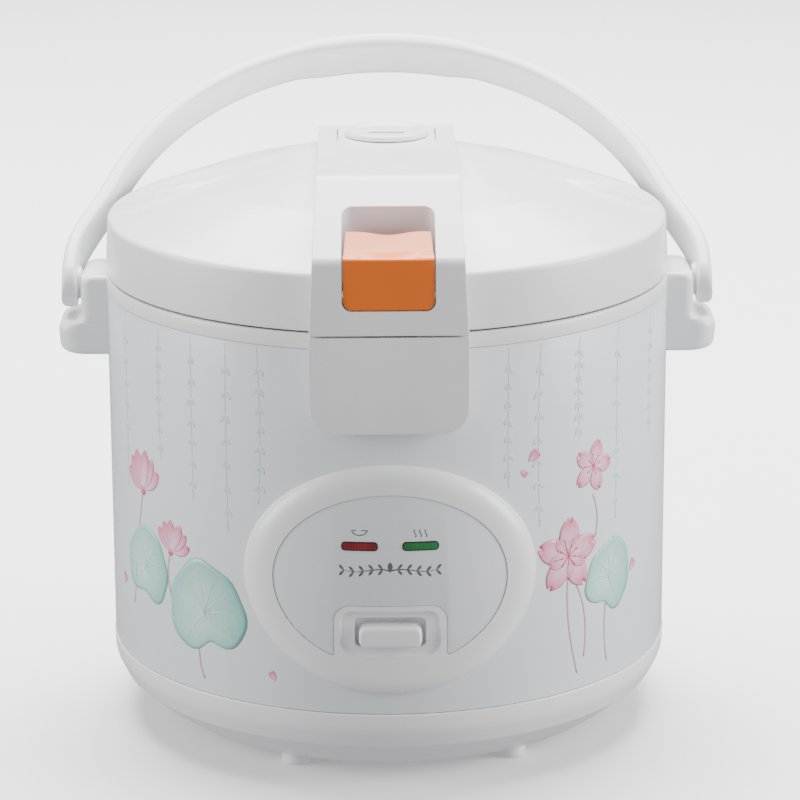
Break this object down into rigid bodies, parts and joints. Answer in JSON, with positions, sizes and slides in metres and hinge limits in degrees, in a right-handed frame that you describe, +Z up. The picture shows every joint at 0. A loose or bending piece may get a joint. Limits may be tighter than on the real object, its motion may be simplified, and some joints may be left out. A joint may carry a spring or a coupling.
{
  "type": "rice cooker",
  "caption": "Drum-shaped electric rice cooker with hinged lid, release button, carrying handle, removable pot, cook switch lever and indicator lamps.",
  "frame": {"origin": "on the floor plane under the drum's vertical axis, which is within 3 mm of the middle of the bounding box", "axes": "+Z up, -Y towards the front where the button and the panel are, +X to the right of someone who looks at the front"},
  "size_m": [0.307, 0.2785, 0.2979],
  "materials": {
    "white_plastic": "satin white moulded plastic",
    "sleeve_enamel": "pale blue-grey coated steel sheet",
    "orange_plastic": "orange plastic, satin",
    "panel_film": "pale printed panel",
    "bright_steel": "bare steel",
    "cast_aluminium": "cast or rolled aluminium",
    "pot_coating": "dark non-stick coating on aluminium",
    "silicone": "translucent white silicone",
    "black_plastic": "black heat-resistant plastic",
    "magnet_metal": "dark magnet and steel stem",
    "circuit_board": "green board",
    "red_lens": "red lamp lens",
    "green_lens": "green lamp lens",
    "brass_pins": "bare brass"
  },
  "bodies": {
    "cooker_body": {"base_shell": "white_plastic", "bottom_cover": "bright_steel", "bottom_screw_1": "bright_steel", "bottom_screw_2": "bright_steel", "bottom_screw_3": "bright_steel", "foot_1": "white_plastic", "foot_2": "white_plastic", "foot_3": "white_plastic", "foot_4": "white_plastic", "outer_sleeve": "sleeve_enamel", "inner_liner": "bright_steel", "upper_collar": "white_plastic", "latch_keeper": "bright_steel", "latch_housing": "white_plastic", "hinge_cover": "white_plastic", "hinge_pin": "bright_steel", "power_inlet": "black_plastic", "inlet_pin_1": "brass_pins", "inlet_pin_2": "brass_pins", "inlet_pin_3": "brass_pins", "heater_plate": "cast_aluminium", "heating_element": "bright_steel", "thermostat_housing": "bright_steel", "sensor_spring": "bright_steel", "keep_warm_band": "silicone", "lever_bracket": "bright_steel", "lever_pin": "bright_steel", "microswitch": "black_plastic", "thermal_fuse": "sleeve_enamel", "panel_bezel": "white_plastic", "panel_inlay": "panel_film", "lamp_red": "red_lens", "lamp_green": "green_lens", "lamp_board": "circuit_board", "handle_pin_left": "bright_steel", "handle_pin_right": "bright_steel", "hinge_spring": "bright_steel"},
    "lid": {"lid_shell": "white_plastic", "lid_bridge": "white_plastic", "lid_inner_liner": "white_plastic", "inner_cover": "cast_aluminium", "lid_gasket": "silicone", "steam_tube": "white_plastic", "vent_seal": "silicone", "latch_pin": "bright_steel", "button_spring": "bright_steel"},
    "vent_cap": {"steam_vent_cap": "white_plastic"},
    "latch": {"release_button": "orange_plastic", "latch_hook": "bright_steel"},
    "pot": {"inner_pot": "pot_coating"},
    "sensor": {"sensor_cap": "cast_aluminium"},
    "lever": {"switch_lever": "bright_steel", "switch_knob": "white_plastic"},
    "plunger": {"magnet_plunger": "magnet_metal"},
    "washers": {"pivot_washer_left": "white_plastic", "pivot_washer_right": "white_plastic"},
    "carry_handle": {"handle": "white_plastic"}
  },
  "joints": [
    {"name": "lid_hinge", "type": "hinge", "parent": "cooker_body", "child": "lid", "pos_m": [0, 0.1315, 0.2175], "axis": [-1, 0, 0], "range_deg": [0, 80], "deforming": ["hinge_spring"]},
    {"name": "handle_swing", "type": "hinge", "parent": "cooker_body", "child": "washers", "pos_m": [0, 0, 0.204], "axis": [1, 0, 0], "range_deg": [0, 88]},
    {"name": "handle_rest_shift", "type": "hinge", "parent": "washers", "child": "carry_handle", "pos_m": [0, 0, 0.204], "axis": [-1, 0, 0], "range_deg": [0, 43]},
    {"name": "button_press", "type": "hinge", "parent": "lid", "child": "latch", "pos_m": [0, -0.128, 0.2205], "axis": [-1, 0, 0], "range_deg": [0, 12], "stiffness_Nm_per_rad": 0.3, "deforming": ["button_spring"]},
    {"name": "vent_cap_lift", "type": "slide", "parent": "lid", "child": "vent_cap", "axis": [0, 0, 1], "range_m": [0, 0.03]},
    {"name": "pot_turn", "type": "hinge", "parent": "cooker_body", "child": "pot", "pos_m": [0, 0, 0.0978], "axis": [0, 0, 1], "continuous": true},
    {"name": "sensor_press", "type": "slide", "parent": "cooker_body", "child": "sensor", "axis": [0, 0, 1], "range_m": [-0.003, 0], "stiffness_N_per_m": 300, "springref_m": 0.001, "deforming": ["sensor_spring"]},
    {"name": "cook_switch", "type": "hinge", "parent": "cooker_body", "child": "lever", "pos_m": [0, -0.09, 0.061], "axis": [-1, 0, 0], "range_deg": [0, 3.7]},
    {"name": "plunger_slide", "type": "slide", "parent": "cooker_body", "child": "plunger", "axis": [0, 0, -1], "range_m": [0, 0.0062]}
  ],
  "couplings": [
    {"joint": "handle_rest_shift", "follows": "lid_hinge", "ratio": 0.53},
    {"joint": "plunger_slide", "follows": "cook_switch", "m_per_rad": 0.09}
  ]
}
